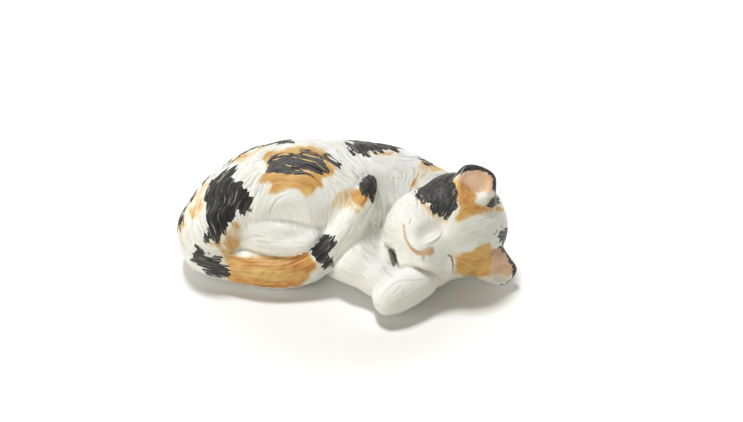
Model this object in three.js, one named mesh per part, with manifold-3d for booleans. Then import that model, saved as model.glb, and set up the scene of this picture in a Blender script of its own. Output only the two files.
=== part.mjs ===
// A sleeping calico cat figurine, about 90 mm long: a small solid ornament of painted stoneware.
// It is put together as a modeller does it. The haunch, hind foot, tail, foreleg and forepaw are
// let into shallow seats in the torso, the muzzle and the ears into seats in the head, and the
// head sits on the torso's neck. A thin line of slip is left free round every joint.
// Millimetres, +X towards the head, +Y towards the cat's back, +Z up, base at z = 0.
import * as THREE from "three";
import { mergeVertices } from "three/addons/utils/BufferGeometryUtils.js";
import Module from "manifold-3d";

const wasm = await Module();
wasm.setup();

// Joints
const slipGap = 0.3;
const torsoSeatDepth = 2.6;
const headSeatDepth = 2;

// Fineness: facets per millimetre of girth and of length, kept between a least and a most
const roundFacet = 2.8;
const lengthFacet = 3.4;
const leastFacets = 12;
const mostFacets = 34;

// Torso: a thick sausage bowed towards the back. A station gives its share of the length, of the
// bow and of the radius, and how far in radii the underside would lie above the base before it is
// cut flat.
const torsoLength = 54;
const torsoBow = 11.4;
const torsoRadius = 14;
const torsoStations = [
  { along: 0, bow: 0, girth: 0.76, underside: -0.06 },
  { along: 0.11, bow: 0.53, girth: 0.89, underside: -0.04 },
  { along: 0.27, bow: 0.88, girth: 0.98, underside: -0.06 },
  { along: 0.48, bow: 1, girth: 1, underside: -0.03 },
  { along: 0.69, bow: 1, girth: 1, underside: -0.03 },
  { along: 0.85, bow: 0.95, girth: 0.93, underside: 0.01 },
  { along: 1, bow: 0.7, girth: 0.79, underside: 0.11 },
];

// What lies on the torso is placed by where it lies along the torso, counted in torso stations,
// by its bearing in plan (0 faces the viewer's front, 90 the head's end) and its rise above level,
// both in degrees, and by how far its underside lifts off the torso there, negative where it is
// pressed in. A member's lift, wide and thick are counted in its own radius.
const bellyHalfSizes = [27, 10, 8];
const bellyDepth = 9; // from the torso's surface in to the belly's centre
const belly = { along: 2.5, bearing: 4, rise: -45 };

// Haunch: the dome of the thigh, which stands a little proud of the flank
const haunchHalfSizes = [19, 14, 13];
const haunchProud = 2.3;
const haunch = { along: 2.56, bearing: 4, rise: 21, turn: -6 };

const hindFootRadius = 5;
const hindFoot = [
  { along: 0.63, bearing: 35, rise: -5, lift: -1.5, wide: 0.84, thick: 0.84 },
  { along: 1.56, bearing: 17, rise: -5, lift: -0.82, wide: 1, thick: 1 },
  { along: 2.46, bearing: 6, rise: -6, lift: -0.38, wide: 0.96, thick: 0.96 },
  { along: 3, bearing: 3, rise: -6, lift: -0.06, wide: 0.72, thick: 0.72 },
];

const tailRadius = 5;
const tail = [
  { along: 0, bearing: -94, rise: -29, lift: -1.88, wide: 1, thick: 1 },
  { along: 0, bearing: -33, rise: -35, lift: -1.76, wide: 1.02, thick: 1.02 },
  { along: 0, bearing: 26, rise: -28, lift: -1.3, wide: 1, thick: 1 },
  { along: 0.44, bearing: 40, rise: -19, lift: 0.2, wide: 0.98, thick: 0.98 },
  { along: 2.38, bearing: 8, rise: -21, lift: 0.68, wide: 0.98, thick: 0.98 },
  { along: 3.07, bearing: 2, rise: -17, lift: 0.34, wide: 0.92, thick: 0.92 },
  { along: 3.56, bearing: -1, rise: -4, lift: -0.06, wide: 0.8, thick: 0.8 },
  { along: 3.89, bearing: 0, rise: 14, lift: -0.3, wide: 0.68, thick: 0.68 },
  { along: 4.11, bearing: 4, rise: 34, lift: -0.4, wide: 0.56, thick: 0.56 },
  { along: 4.19, bearing: 7, rise: 51, lift: -0.38, wide: 0.46, thick: 0.46 },
];

const forelegRadius = 7;
const nearForeleg = [
  { along: 3.5, bearing: 0, rise: -28, lift: -0.6, wide: 1.06, thick: 1 },
  { along: 3.88, bearing: 1, rise: -19, lift: 0.1, wide: 0.94, thick: 0.9 },
  { along: 4.2, bearing: 3, rise: -18, lift: 0.7, wide: 0.81, thick: 0.77 },
  { along: 4.52, bearing: 3, rise: -17, lift: 1.3, wide: 0.69, thick: 0.69 },
];

const farForepawRadius = 4.6;
const farForepaw = [
  { along: 5.14, bearing: -4, rise: -20, lift: 0.07, wide: 1, thick: 1 },
  { along: 5.78, bearing: -8, rise: -19, lift: 1.07, wide: 1, thick: 1 },
  { along: 6, bearing: 4, rise: -19, lift: 1.35, wide: 0.96, thick: 0.96 },
];

// Near forepaw, placed by its steps in x and y from the wrist, where the foreleg ends, and by how
// far its underside lifts off the base, all counted in its own radius
const nearForepawRadius = 5.2;
const nearForepaw = [
  { fromWrist: [0.35, -1.12], lift: 0.08, wide: 0.88, thick: 0.88 },
  { fromWrist: [1.04, -0.67], lift: 0.14, wide: 0.97, thick: 0.95 },
  { fromWrist: [2.12, 0.15], lift: 0.35, wide: 0.88, thick: 0.88 },
];

// Head, lying on its cheek and placed from the neck, the torso's last station. Its own axes are x
// towards the lower ear, y up to the crown and z out of the face.
const headBearing = 41;
const headReach = 1.5; // from the neck's surface to the head's centre
const cheekPressed = 0.9; // how far the cheek would reach below the base before it is cut flat
const crownRise = 26;
const faceBearing = -9.4;
const faceRise = 19;
const craniumHalfSizes = [14.2, 14, 12.6];
const cheekHalfSizes = [12.1, 9, 9];
const cheekDrop = 5.4; // from the cranium's centre towards the chin
const cheekForward = 4; // and out of the face
const jowlHalfSizes = [10.6, 11.8, 9.6];
const jowlPlace = [-3.6, -6, 2.6]; // fuller cheek on the upper side
const muzzleHalfSizes = [6.6, 5, 5.4];
const muzzleWay = [0, -0.27, 1]; // from the cheeks' centre
const muzzleProud = 2.2;

// An ear is a flattened taper from root to tip, with a bowl scooped out of its front. Root and tip
// lie on ways from the cranium's centre, and lift off its surface by so much.
const earWall = 2; // clay left behind the bowl
const earRim = 1; // and beside it
const upperEar = {
  rootWay: [-0.6, 0.72, 0.36],
  rootLift: -2.5,
  tipWay: [-0.68, 0.72, 0.16],
  tipLift: 2.9,
  across: [0.62, 0.78, 0],
  root: { wide: 6.6, thick: 4.2 },
  tip: { wide: 4.9, thick: 2.2 },
  bowl: { at: 0.72, length: 4, depth: 4.4 },
};
const lowerEar = {
  rootWay: [0.87, 0.4, 0.27],
  rootLift: -0.6,
  tipWay: [0.9, 0.42, 0.12],
  tipLift: 4.7,
  across: [-0.7, 0.6, 0],
  root: { wide: 5.6, thick: 3.8 },
  tip: { wide: 3.9, thick: 2 },
  bowl: { at: 0.7, length: 3.6, depth: 4 },
};

// Glazes
const glaze = (color) => new THREE.MeshStandardMaterial({ color, roughness: 0.6, metalness: 0 });

// Closed solid from a closed geometry, with its shared vertices merged.
function solid(geometry) {
  const bare = geometry.clone();
  bare.deleteAttribute("normal");
  bare.deleteAttribute("uv");
  const merged = mergeVertices(bare, 1e-4);
  return new wasm.Manifold(
    new wasm.Mesh({
      numProp: 3,
      vertProperties: merged.attributes.position.array,
      triVerts: new Uint32Array(merged.index.array),
    }),
  );
}

const facets = (length, facet) =>
  Math.round(THREE.MathUtils.clamp(length / facet, leastFacets, mostFacets));

const smooth = (vectors) => new THREE.CatmullRomCurve3(vectors, false, "catmullrom");
const sizeCurve = (stations) =>
  smooth(stations.map((station) => new THREE.Vector3(station.wide, station.thick, 0)));

// Oval section swept through the stations, with rounded ends, thickened all round by grow.
// The section's wide way is level, or lies along side where that is given.
function sweep(stations, grow, side = null) {
  const path = smooth(stations.map((station) => station.at));
  const sizes = sizeCurve(stations);
  const girth = 2 * Math.PI * Math.max(...stations.map((station) => station.wide));
  const sides = facets(girth, roundFacet);
  const rings = facets(path.getLength(), lengthFacet);
  const up = new THREE.Vector3(0, 0, 1);
  const capRings = Math.ceil(sides / 6);
  const points = [];

  const oval = (centre, tangent, wide, thick) => {
    const across = side ? side.clone() : new THREE.Vector3().crossVectors(up, tangent);
    across.addScaledVector(tangent, -across.dot(tangent)).normalize();
    const rise = new THREE.Vector3().crossVectors(tangent, across);
    for (let j = 0; j < sides; j++) {
      const turn = (2 * Math.PI * j) / sides;
      const point = centre.clone().addScaledVector(across, wide * Math.cos(turn));
      points.push(point.addScaledVector(rise, thick * Math.sin(turn)));
    }
  };
  const sizeAt = (t) => sizes.getPoint(t).add(new THREE.Vector3(grow, grow, 0));
  const endDepth = (t) => Math.min(sizeAt(t).x, sizeAt(t).y);
  const beyond = (t, reach) => path.getPoint(t).addScaledVector(path.getTangent(t), reach * endDepth(t));
  const capOval = (t, way, k) => {
    const bend = (Math.PI / 2) * (k / capRings);
    const narrowed = Math.cos(bend);
    const centre = beyond(t, way * Math.sin(bend));
    oval(centre, path.getTangent(t), sizeAt(t).x * narrowed, sizeAt(t).y * narrowed);
  };

  for (let k = capRings - 1; k > 0; k--) capOval(0, -1, k);
  for (let i = 0; i <= rings; i++) {
    const t = i / rings;
    oval(path.getPoint(t), path.getTangent(t), sizeAt(t).x, sizeAt(t).y);
  }
  for (let k = 1; k < capRings; k++) capOval(1, 1, k);

  const ovals = points.length / sides;
  const startPole = points.push(beyond(0, -1)) - 1;
  const endPole = points.push(beyond(1, 1)) - 1;
  const faces = [];
  for (let j = 0; j < sides; j++) {
    const next = (j + 1) % sides;
    faces.push(startPole, next, j);
    faces.push(endPole, (ovals - 1) * sides + j, (ovals - 1) * sides + next);
    for (let i = 0; i < ovals - 1; i++) {
      const a = i * sides + j;
      const b = i * sides + next;
      faces.push(a, b, b + sides, a, b + sides, a + sides);
    }
  }
  return new THREE.BufferGeometry().setFromPoints(points).setIndex(faces);
}

// Ellipsoid whose half-sizes are all thickened by grow, turned in plan by turn degrees.
function ellipsoid({ centre, halfSizes, turn = 0 }, grow) {
  const [a, b, c] = halfSizes.map((half) => half + grow);
  const around = facets(2 * Math.PI * Math.max(a, b), roundFacet);
  const upward = Math.ceil(around / 2);
  return new THREE.SphereGeometry(1, around, upward)
    .rotateX(Math.PI / 2)
    .scale(a, b, c)
    .rotateZ(THREE.MathUtils.degToRad(turn))
    .translate(centre.x, centre.y, centre.z);
}

// Unit way from a bearing in plan and a rise above level.
function way(bearing, rise) {
  const b = THREE.MathUtils.degToRad(bearing);
  const r = THREE.MathUtils.degToRad(rise);
  return new THREE.Vector3(Math.sin(b) * Math.cos(r), -Math.cos(b) * Math.cos(r), Math.sin(r));
}

// Torso's centre line and its members' places on it
const torso = torsoStations.map(({ along, bow, girth, underside }) => {
  const radius = girth * torsoRadius;
  const height = underside * torsoRadius + radius;
  const at = new THREE.Vector3(along * torsoLength, bow * torsoBow, height);
  return { at, wide: radius, thick: radius };
});
const torsoPath = smooth(torso.map((station) => station.at));
const torsoSizes = sizeCurve(torso);
const lastStation = torso.length - 1;

function offTorso({ along, bearing, rise }, distance) {
  const t = along / lastStation;
  return torsoPath.getPoint(t).addScaledVector(way(bearing, rise), torsoSizes.getPoint(t).x + distance);
}

const inMillimetres = (station, radius) => ({
  ...station,
  lift: station.lift * radius,
  wide: station.wide * radius,
  thick: station.thick * radius,
});
const laid = (stations, radius) =>
  stations.map((station) => {
    const sized = inMillimetres(station, radius);
    return { ...sized, at: offTorso(station, sized.lift + sized.thick) };
  });
const tailStations = laid(tail, tailRadius);
const hindFootStations = laid(hindFoot, hindFootRadius);
const nearForelegStations = laid(nearForeleg, forelegRadius);
const farForepawStations = laid(farForepaw, farForepawRadius);
const bellyBall = { centre: offTorso(belly, -bellyDepth), halfSizes: bellyHalfSizes };
const haunchBall = {
  centre: offTorso(haunch, haunchProud - haunchHalfSizes[2]),
  halfSizes: haunchHalfSizes,
  turn: haunch.turn,
};

const wrist = nearForelegStations.at(-1).at;
const nearForepawStations = nearForepaw.map((station) => {
  const sized = inMillimetres(station, nearForepawRadius);
  const [x, y] = station.fromWrist.map((step) => step * nearForepawRadius);
  return { ...sized, at: new THREE.Vector3(wrist.x + x, wrist.y + y, sized.lift + sized.thick) };
});

// Head's axes and place. It lies as high as its tilted cranium needs to rest on the base.
const crownWay = way(90, crownRise);
const lowerEarWay = new THREE.Vector3().crossVectors(crownWay, way(faceBearing, faceRise)).normalize();
const faceWay = new THREE.Vector3().crossVectors(lowerEarWay, crownWay);
const neck = { along: lastStation, bearing: headBearing, rise: 0 };
const headCentre = offTorso(neck, headReach);
headCentre.z = -cheekPressed + Math.hypot(
  lowerEarWay.z * craniumHalfSizes[0],
  crownWay.z * craniumHalfSizes[1],
  faceWay.z * craniumHalfSizes[2],
);
const headPlace = new THREE.Matrix4().makeBasis(lowerEarWay, crownWay, faceWay).setPosition(headCentre);

// Point on a ball's surface, along a way from its centre, or so far off it.
function offBall(ball, towards, lift) {
  const unit = new THREE.Vector3(...towards).normalize();
  const [a, b, c] = ball.halfSizes;
  const reach = 1 / Math.hypot(unit.x / a, unit.y / b, unit.z / c);
  return ball.centre.clone().addScaledVector(unit, reach + lift);
}

const cranium = { centre: new THREE.Vector3(), halfSizes: craniumHalfSizes };
const cheeks = { centre: new THREE.Vector3(0, -cheekDrop, cheekForward), halfSizes: cheekHalfSizes };
const jowl = { centre: new THREE.Vector3(...jowlPlace), halfSizes: jowlHalfSizes };
const muzzle = {
  centre: offBall(cheeks, muzzleWay, muzzleProud - muzzleHalfSizes[2]),
  halfSizes: muzzleHalfSizes,
};

const union = (...solids) => solids.reduce((whole, next) => whole.add(next));
const cut = (from, ...tools) => tools.reduce((left, tool) => left.subtract(tool), from);

// The largest body of a cut piece: the thin crumbs that a cut leaves beside it are brushed off.
const mainBody = (piece) => piece.decompose().reduce((a, b) => (a.volume() > b.volume() ? a : b));

const belowBase = solid(new THREE.BoxGeometry(400, 400, 100).translate(0, 0, -50));

// Each form is a function of how far it is grown past its real size.
const swept = (stations) => (grow) => solid(sweep(stations, grow));
const ball = (shape) => (grow) => solid(ellipsoid(shape, grow));
const torsoForm = (grow) => union(swept(torso)(grow), ball(bellyBall)(grow));
const haunchForm = ball(haunchBall);
const hindFootForm = swept(hindFootStations);
const tailForm = swept(tailStations);
const nearForelegForm = swept(nearForelegStations);
const nearForepawForm = swept(nearForepawStations);
const farForepawForm = swept(farForepawStations);

// Forms on the head are made on its own axes and then laid down with it.
const onHead = (geometry) => solid(geometry.applyMatrix4(headPlace));
const headForm = (grow) =>
  union(...[cranium, cheeks, jowl].map((shape) => onHead(ellipsoid(shape, grow))));
const muzzleForm = (grow) => onHead(ellipsoid(muzzle, grow));

const earEnds = (ear) => [
  offBall(cranium, ear.rootWay, ear.rootLift),
  offBall(cranium, ear.tipWay, ear.tipLift),
];
const between = (a, b, share) => a + (b - a) * share;

function earForm(ear, grow) {
  const [root, tip] = earEnds(ear);
  const stations = [0, 0.5, 1].map((share) => ({
    at: root.clone().lerp(tip, share),
    wide: between(ear.root.wide, ear.tip.wide, share),
    thick: between(ear.root.thick, ear.tip.thick, share),
  }));
  return onHead(sweep(stations, grow, new THREE.Vector3(...ear.across)));
}

// Bowl in the front of an ear, which also hollows the head a little where the ear opens.
function earBowl(ear) {
  const [root, tip] = earEnds(ear);
  const lengthway = tip.clone().sub(root).normalize();
  const outward = new THREE.Vector3().crossVectors(lengthway, new THREE.Vector3(...ear.across));
  outward.normalize();
  if (outward.z < 0) outward.negate();
  const across = new THREE.Vector3().crossVectors(lengthway, outward);
  const { at, length, depth } = ear.bowl;
  const wide = between(ear.root.wide, ear.tip.wide, at) - earRim;
  const thick = between(ear.root.thick, ear.tip.thick, at);
  const centre = root.lerp(tip, at).addScaledVector(outward, earWall - thick + depth);
  const place = new THREE.Matrix4().makeBasis(across, lengthway, outward).setPosition(centre);
  const bowl = { centre: new THREE.Vector3(), halfSizes: [wide, length, depth] };
  return onHead(ellipsoid(bowl, 0).applyMatrix4(place));
}

// Members let into a carrier: the carrier keeps a core below their seats, and each member ends on
// the seat with a slip gap all round.
const seated = (carrierForm, memberForms, depth) =>
  union(
    cut(carrierForm(0), ...memberForms.map((form) => form(slipGap))),
    carrierForm(-(depth + slipGap)),
  );
const letIn = (memberForm, carrierForm, depth) => cut(memberForm(0), carrierForm(-depth));

const upperEarForm = (grow) => earForm(upperEar, grow);
const lowerEarForm = (grow) => earForm(lowerEar, grow);
const bowls = [earBowl(upperEar), earBowl(lowerEar)];

const torsoMembers = [haunchForm, hindFootForm, tailForm, nearForelegForm, farForepawForm];
const headMembers = [muzzleForm, upperEarForm, lowerEarForm];

const pieces = {
  torso: {
    body: seated(torsoForm, torsoMembers, torsoSeatDepth),
    glaze: glaze(0xece9e0),
  },
  haunch: {
    body: cut(letIn(haunchForm, torsoForm, torsoSeatDepth), hindFootForm(slipGap), tailForm(slipGap)),
    glaze: glaze(0xe9e4d8),
  },
  hind_foot: {
    body: cut(letIn(hindFootForm, torsoForm, torsoSeatDepth), tailForm(slipGap)),
    glaze: glaze(0xf0eee8),
  },
  tail: {
    body: letIn(tailForm, torsoForm, torsoSeatDepth),
    glaze: glaze(0xd9a05c),
  },
  near_foreleg: {
    body: cut(
      letIn(nearForelegForm, torsoForm, torsoSeatDepth),
      tailForm(slipGap),
      haunchForm(slipGap),
      nearForepawForm(slipGap),
      headForm(slipGap),
    ),
    glaze: glaze(0xefece5),
  },
  near_forepaw: {
    body: cut(nearForepawForm(0), headForm(slipGap), muzzleForm(slipGap)),
    glaze: glaze(0xf2f0ea),
  },
  far_forepaw: {
    body: cut(
      letIn(farForepawForm, torsoForm, torsoSeatDepth),
      headForm(slipGap),
      muzzleForm(slipGap),
      nearForepawForm(slipGap),
      nearForelegForm(slipGap),
    ),
    glaze: glaze(0xeceae4),
  },
  head: {
    body: cut(seated(headForm, headMembers, headSeatDepth), torsoForm(slipGap), ...bowls),
    glaze: glaze(0xf0eee8),
  },
  muzzle: {
    body: cut(letIn(muzzleForm, headForm, headSeatDepth), torsoForm(slipGap)),
    glaze: glaze(0xf2f0ec),
  },
  upper_ear: {
    body: cut(letIn(upperEarForm, headForm, headSeatDepth), ...bowls),
    glaze: glaze(0x3a3836),
  },
  lower_ear: {
    body: cut(letIn(lowerEarForm, headForm, headSeatDepth), ...bowls),
    glaze: glaze(0xd0a090),
  },
};

const cat = new THREE.Group();
const place = new THREE.Box3();
for (const [name, piece] of Object.entries(pieces)) {
  const made = mainBody(cut(piece.body, belowBase)).getMesh();
  const geometry = new THREE.BufferGeometry();
  geometry.setAttribute("position", new THREE.BufferAttribute(made.vertProperties, 3));
  geometry.setIndex(new THREE.BufferAttribute(made.triVerts, 1));
  geometry.computeVertexNormals();
  geometry.computeBoundingBox();
  place.union(geometry.boundingBox);
  const mesh = new THREE.Mesh(geometry, piece.glaze);
  mesh.name = name;
  cat.add(mesh);
}

// The origin is the middle of the base.
const middle = place.getCenter(new THREE.Vector3());
cat.position.set(-middle.x, -middle.y, -place.min.z);

export default cat;
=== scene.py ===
"""Sleeping calico cat, an ornament of painted stoneware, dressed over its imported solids.

The members are fused into one sculpted skin with soft joins. The skin is parted into one closed
piece for each member, the fur is incised along one sweep of the coat, and the coat is painted.
Sculpting and painting work in millimetres. Meshes are in metres.
"""
import math
from collections import namedtuple

import bpy
import numpy as np
import openvdb
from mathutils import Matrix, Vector


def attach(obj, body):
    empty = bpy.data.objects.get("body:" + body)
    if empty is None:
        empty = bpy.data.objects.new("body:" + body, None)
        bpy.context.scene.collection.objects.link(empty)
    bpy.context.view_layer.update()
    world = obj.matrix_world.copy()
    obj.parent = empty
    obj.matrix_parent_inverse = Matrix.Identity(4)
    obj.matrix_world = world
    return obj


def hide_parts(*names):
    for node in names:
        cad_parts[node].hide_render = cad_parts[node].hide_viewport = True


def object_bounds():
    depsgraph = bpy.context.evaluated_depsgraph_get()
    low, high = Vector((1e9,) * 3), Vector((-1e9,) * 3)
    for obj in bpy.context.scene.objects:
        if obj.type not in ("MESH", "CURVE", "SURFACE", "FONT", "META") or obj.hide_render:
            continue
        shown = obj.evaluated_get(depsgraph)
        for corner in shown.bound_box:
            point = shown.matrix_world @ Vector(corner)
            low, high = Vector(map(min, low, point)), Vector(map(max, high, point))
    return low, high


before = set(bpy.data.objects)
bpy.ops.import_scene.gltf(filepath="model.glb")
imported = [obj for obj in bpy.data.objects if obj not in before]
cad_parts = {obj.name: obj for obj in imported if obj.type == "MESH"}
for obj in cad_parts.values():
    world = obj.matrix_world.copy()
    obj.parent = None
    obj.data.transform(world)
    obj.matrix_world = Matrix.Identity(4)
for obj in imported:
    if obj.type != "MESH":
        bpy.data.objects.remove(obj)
cad_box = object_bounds()

MM = 0.001

# Camera, at the photograph's viewing angle. AIM is the place that shows at AIM_PIXEL.
PICTURE = (743, 422)
PIXELS_PER_MM = 3.8
CAMERA_ELEVATION = math.radians(40)
CAMERA_DISTANCE = 480.0
SENSOR_WIDTH = 36.0
AIM = (0.15, 5.92, 13.0)
AIM_PIXEL = (347.0, 207.2)

# Light: lamps by place, size, power and colour, one above and behind and a soft one low on the left,
# a warm sky that is bright near the horizon, and a floor that is white to look at and glows from one
# distance to another
LAMPS = {
    "key": ((-0.09, 0.23, 0.62), 0.15, 3.27, (1.0, 1.0, 1.0)),
    "side": ((-0.26, -0.14, 0.05), 0.25, 0.45, (1.0, 0.97, 0.88)),
}
LAMP_AIM = (0, 0, 0.01)
SKY_COLOUR = (1.0, 0.96, 0.81, 1.0)
SKY_STRENGTH = 3.15
SKY_FALL = 4.0
FLOOR_HALF_SIZE = 2.0
FLOOR_SEEN = 1.0
FLOOR_BOUNCE = 0.40
FLOOR_GLOW = (0.030, 0.090, 0.0, 0.9)

# Sculpting grid: its cell and margin, how many cells a distance field reaches, how many times its
# own breadth a blur reaches, the least squared slope that counts, and which faces are the underside
CELL = 0.53
GRID_MARGIN = 4.0
BAND_CELLS = 12
BLUR_REACH = 2.5
LEAST_SLOPE = 0.05
UNDERSIDE_HEIGHT = 3.0
UNDERSIDE_SLOPE = -0.35

# Meshing: how near a grid point the skin may cross, the weight of a joint's faces beside the skin,
# how many cells a vertex slides towards a seam, and how far a quad may turn before it goes back
CROSSING_LIMITS = (0.02, 0.98)
JOINT_WEIGHT = 1e-4
SEAM_SLIDE = 0.4
SEAM_SLOPE = 0.1
FOLDED = 0.5

# Lines of sight: where a look starts short of the figure, its steps and how far each one trusts the
# distance field, and how far and how deep clay that hides a point is felt for
LOOK_SHORT = 60.0
LOOK_STEPS = 160
LOOK_TRUST = 0.8
COVER_REACHES = (2, 3, 4.5, 6.5, 9, 12)
COVER_DEPTH = 0.3

# Unevenness left by the hands: its breadth and height, and how far it turns the fur aside
LUMP_BREADTH = 2.2
LUMP_HEIGHT = 0.07
LUMP_SWAY = 0.7
LUMP_SEED = 11

# How each member is finished: material slot, how far the facets of its solid are rubbed smooth,
# spacing of the incised strokes, and their depth and length
Member = namedtuple("Member", "slot rubbed spacing depth length")
MEMBERS = {
    "torso": Member("calico_coat", 1.2, 0.80, 0.34, 12.0),
    "haunch": Member("calico_coat", 1.2, 0.80, 0.18, 12.0),
    "near_foreleg": Member("calico_coat", 1.0, 0.85, 0.30, 7.0),
    "hind_foot": Member("calico_coat", 0.8, 0.90, 0.18, 5.0),
    "near_forepaw": Member("calico_coat", 0.8, 0.95, 0.15, 7.0),
    "far_forepaw": Member("calico_coat", 0.8, 0.95, 0.12, 5.0),
    "head": Member("calico_coat", 1.2, 0.95, 0.11, 7.0),
    "muzzle": Member("calico_coat", 0.8, 1.20, 0.05, 3.0),
    "upper_ear": Member("ear_coat", 0.5, 0.90, 0.12, 4.0),
    "lower_ear": Member("ear_coat", 0.5, 0.90, 0.12, 4.0),
    "tail": Member("tail_coat", 0.8, 0.75, 0.24, 10.0),
}
NAMES = list(MEMBERS)
OWNERS = {name: number for number, name in enumerate(NAMES, 1)}
FACE = ("head", "muzzle")

# How each member is joined on, in this order: how far the join is filled, and the depth of the
# crease that is pressed along it. Creases fade out towards the rump, where the tail grows out. The
# head's join is tight against the paws and wide at the neck.
CREASE_BREADTH = 0.7
# Reach of the painted shade in creases and hollows: how far above the skin rising clay is felt for
CREASE_SHADE_REACH = 1.0
CREASES_START = -33.0
CREASES_WHOLE = -24.0
HEAD_JOINS = {
    "muzzle": (4.0, 0.0), "upper_ear": (2.0, 0.0), "lower_ear": (2.0, 0.0), "far_forepaw": (3.5, 0.0)}
ARM_JOINS = {"near_forepaw": (2.6, 0.0)}
BODY_JOINS = {
    "haunch": (6.0, 0.0), "near_foreleg": (6.0, 0.0), "hind_foot": (2.4, 0.0), "tail": (1.5, 0.12)}
CHIN_JOIN = (1.1, 0.16)
NECK_JOIN = (2.0, 0.15)
NECK_REACH = 4.0

# The coat sweeps round the hollow of the thigh, whose middle is bare, and round the head from the
# farther of two distances to the nearer. On the face it spreads from the nose.
THIGH_PIXEL = (291.0, 216.0)
BARE_THIGH = 5.0
HEAD_CENTRE = np.array([28.3, -1.5, 13.1])
HEAD_SWEEP = (14.0, 27.0)
NOSE_PIXEL = (430.0, 250.5)

# Lines along the limbs and the ears, from root to tip, that their fur follows
LIMB_LINES = {
    "tail": [
        (186, 258), (210, 266), (250, 273), (290, 271), (318, 256), (340, 232), (356, 207), (370, 182)],
    "near_foreleg": [(338, 252), (352, 262), (368, 275), (386, 290)],
    "near_forepaw": [(386, 303), (396, 292), (410, 280), (430, 268)],
    "hind_foot": [(246, 236), (270, 240), (295, 243), (318, 240)],
    "upper_ear": [(462, 208), (474, 192), (480, 174)],
    "lower_ear": [(476, 262), (490, 263), (508, 266)],
}
LIMB_BLEND = 2.5

# Breadth of a hair in the paint, across the fur and along it, and how many lie round the nose
HAIR_ACROSS = 0.7
HAIR_ALONG = 7.0
FACE_HAIRS = 17

# Incised strokes: the step along them, how many are tried, the lowest seed and the lowest point,
# share of the member's length, least press, its range and its bias, bend, lengths over which a
# stroke starts and ends, how far short of nothing its tips stay, the shortest kept, room taken as a
# share of the spacing, breadth, how much of it the tips keep, and how it grows with the press
STROKE_STEP = 0.3
STROKE_TRIALS = 15000
SEED_LOWEST = 0.8
STROKE_LOWEST = 0.6
STROKE_LENGTHS = (0.3, 1.0)
STROKE_PRESS = (0.3, 0.9, 1.5)
STROKE_BEND = 0.09
STROKE_ENDS = (0.8, 2.0)
STROKE_TIPS = (0.15, 0.1)
STROKE_SHORTEST = 1.5
STROKE_PITCH = 0.55
STROKE_BREADTH = 0.44
STROKE_THINNEST = 0.6
STROKE_WIDENING = (0.7, 0.5)
STROKE_SEED = 7
OCCUPANCY_CELL = 0.2

# Burr beside a line: its height, how far out it lies and its breadth, as shares of the line's. A
# groove is painted in full from GROOVE_PAINTED, in metres, and nothing is cut below SKIN_LOWEST.
BURR_HEIGHT = 0.3
BURR_PLACE = 1.35
BURR_BREADTH = 0.6
GROOVE_PAINTED = 0.00025
SKIN_LOWEST = 0.3

# Drawn lines: the step between their points in pixels, how late their breadth changes, how blunt
# their tips are, the room kept free of fur beside them, how far from a line's middle its paint is
# looked for, and how much of its breadth is painted
LINE_SPACING = 0.7
LINE_SWELL = 1.2
LINE_TIPS = 0.3
LINE_ROOM = 0.6
LINE_NEAR = 14.0
LINE_PAINTED = 0.6

# Lines drawn with a tool or a fine brush, each by pixels of the photograph: breadth at its two
# ends, depth or height if negative, what it is painted with, and the line
DRAWN_LINES = {
    "mouth": (0.30, 1.35, 0.22, "rose", [
        (403.8, 225), (404.5, 233), (406.3, 241), (411, 248.6), (417, 252.8), (422.5, 253.4), (427, 252)]),
    "lip": (0.70, 0.34, 0.18, "rose", [(423.6, 254), (424.0, 257), (423.9, 260.5)]),
    "upper_eye": (0.30, 0.36, 0.14, None, [(444.5, 226.5), (443, 231), (441, 235)]),
    "bridge": (0.50, 0.40, -0.26, None, [(425.5, 243.5), (430.5, 242), (436.5, 238.5), (442, 233)]),
    "lower_eye": (0.55, 0.20, 0.10, "ink_and_shade", [
        (448.8, 255.4), (451.4, 257), (452.6, 261), (453, 267), (453.2, 273.5)]),
    "whisker": (0.26, 0.22, 0.10, "ink_and_shade", [(411, 218), (410, 221), (409, 224)]),
    "gap": (0.30, 1.00, 0.40, None, [(384, 242), (388.5, 249), (391.5, 256), (394.5, 263)]),
    "knuckle": (0.36, 0.44, -0.24, None, [
        (380.5, 296), (385.5, 290), (392, 284), (399, 280.3), (407, 279.3), (415, 279), (423, 278)]),
}

# Short strokes that hang over the top of the hind foot
FRINGE_EDGE = [(248, 224), (260, 221), (276, 220.5), (292, 224), (310, 231), (326, 237)]
FRINGE_SPACING = 4.2
FRINGE_DROP = (2.0, 8.5)
FRINGE_LEAN = 0.22
FRINGE_BREADTH = 0.4
FRINGE_DEPTH = 0.13
FRINGE_ENDS = (0.6, 1.2)
FRINGE_SEED = 3

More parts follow.
